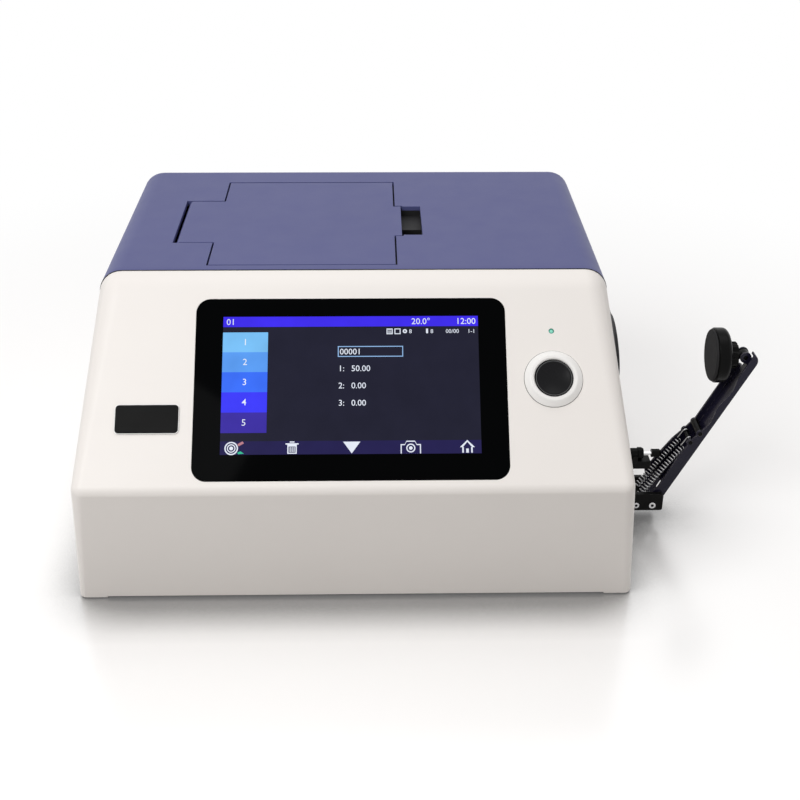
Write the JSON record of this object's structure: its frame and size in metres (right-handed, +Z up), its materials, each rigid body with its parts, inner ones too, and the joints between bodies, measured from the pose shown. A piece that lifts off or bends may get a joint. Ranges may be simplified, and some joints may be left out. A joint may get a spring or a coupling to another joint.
{
  "type": "benchtop colorimeter",
  "caption": "Benchtop colour measuring instrument with a sloped touch display, a lidded sample chamber in its top and a sprung sample arm at its side port.",
  "frame": {"origin": "on the desk, under the centre of the body; the sample arm stands out past it on +X", "axes": "+X to the right as the user faces the display, +Y to the rear, +Z up"},
  "size_m": [0.4405, 0.3041, 0.195],
  "materials": {
    "housing_plastic": "fine texture",
    "cover_plastic": "satin blue violet",
    "plate_steel": "zinc plated",
    "foot_rubber": "matt",
    "screw_steel": "nickel plated",
    "display_glass": "polished black",
    "display_metal": "plain",
    "board": "solder mask",
    "button_plastic": "smooth",
    "led_lens": "lit green",
    "gasket_rubber": "moulded",
    "liner_plastic": "matt black",
    "sphere_shell": "matt white coating inside",
    "optics_black": "black anodised",
    "connector_metal": "plated shell",
    "arm_paint": "gloss dark navy",
    "presser_plastic": "moulded black",
    "damper_black": "black",
    "rod_chrome": "polished",
    "spring_steel": "bright wire"
  },
  "bodies": {
    "root": {"lower_housing": "housing_plastic", "top_cover": "cover_plastic", "base_plate": "plate_steel", "rubber_feet": "foot_rubber", "base_screws": "screw_steel", "screen_glass": "display_glass", "display_module": "display_metal", "display_board": "board", "button_bezel": "housing_plastic", "button_switch": "board", "status_led": "led_lens", "lid_hinge_pin": "screw_steel", "lid_gasket": "gasket_rubber", "sample_chamber": "liner_plastic", "transmission_port": "sphere_shell", "transmission_lens": "optics_black", "sphere_left": "sphere_shell", "sphere_right": "sphere_shell", "sphere_stand": "optics_black", "lamp_module": "optics_black", "reading_tube": "optics_black", "spectrometer": "optics_black", "spectrometer_stand": "plate_steel", "main_board": "board", "port_flange": "optics_black", "aperture_ring": "optics_black", "rear_panel": "optics_black", "rear_screws": "screw_steel", "dc_inlet": "liner_plastic", "usb_port": "connector_metal", "serial_port": "connector_metal", "rocker_frame": "liner_plastic", "arm_bracket": "arm_paint", "bracket_screws": "screw_steel", "arm_pivot_pin": "screw_steel", "spring_anchor_pin": "screw_steel", "damper_bracket": "arm_paint", "damper_body": "damper_black"},
    "button": {"measure_button": "button_plastic"},
    "lid": {"chamber_lid": "cover_plastic"},
    "rocker": {"power_rocker": "liner_plastic"},
    "arm": {"swing_arm": "arm_paint", "spring_crossbar": "arm_paint", "arm_spacer": "arm_paint", "presser_pin": "arm_paint", "arm_spring_front": "spring_steel", "arm_spring_rear": "spring_steel"},
    "swivel": {"presser_swivel": "presser_plastic"},
    "presser": {"presser_knob": "presser_plastic", "presser_disc": "presser_plastic", "presser_pad": "foot_rubber"},
    "damper": {"damper_rod": "rod_chrome"}
  },
  "joints": [
    {"name": "lid_hinge", "type": "hinge", "parent": "root", "child": "lid", "pos_m": [-0.113, 0, 0.192], "axis": [0, -1, 0], "range_deg": [0, 100]},
    {"name": "button_press", "type": "slide", "parent": "root", "child": "button", "axis": [0, 0.7145, -0.6997], "range_m": [0, 0.0016], "stiffness_N_per_m": 800, "springref_m": -0.001},
    {"name": "rocker_tilt", "type": "hinge", "parent": "root", "child": "rocker", "pos_m": [-0.11, 0.1465, 0.036], "axis": [1, 0, 0], "range_deg": [0, 16]},
    {"name": "arm_swing", "type": "hinge", "parent": "root", "child": "arm", "pos_m": [0.2042, -0.0259, 0.0139], "axis": [0, 1, 0], "range_deg": [-31.3, 0], "deforming": ["arm_spring_front", "arm_spring_rear"]},
    {"name": "presser_tilt", "type": "hinge", "parent": "arm", "child": "swivel", "pos_m": [0.2573, -0.0259, 0.12343], "axis": [0, 1, 0], "range_deg": [0, 25.4]},
    {"name": "presser_spin", "type": "hinge", "parent": "swivel", "child": "presser", "pos_m": [0.2573, -0.0259, 0.12343], "axis": [1, 0, 0], "continuous": true},
    {"name": "damper_slide", "type": "slide", "parent": "root", "child": "damper", "axis": [1, 0, 0], "range_m": [-0.0053, 0]}
  ],
  "couplings": [
    {"joint": "presser_tilt", "follows": "arm_swing", "ratio": -0.8115},
    {"joint": "damper_slide", "follows": "arm_swing", "m_per_rad": 0.0095}
  ]
}
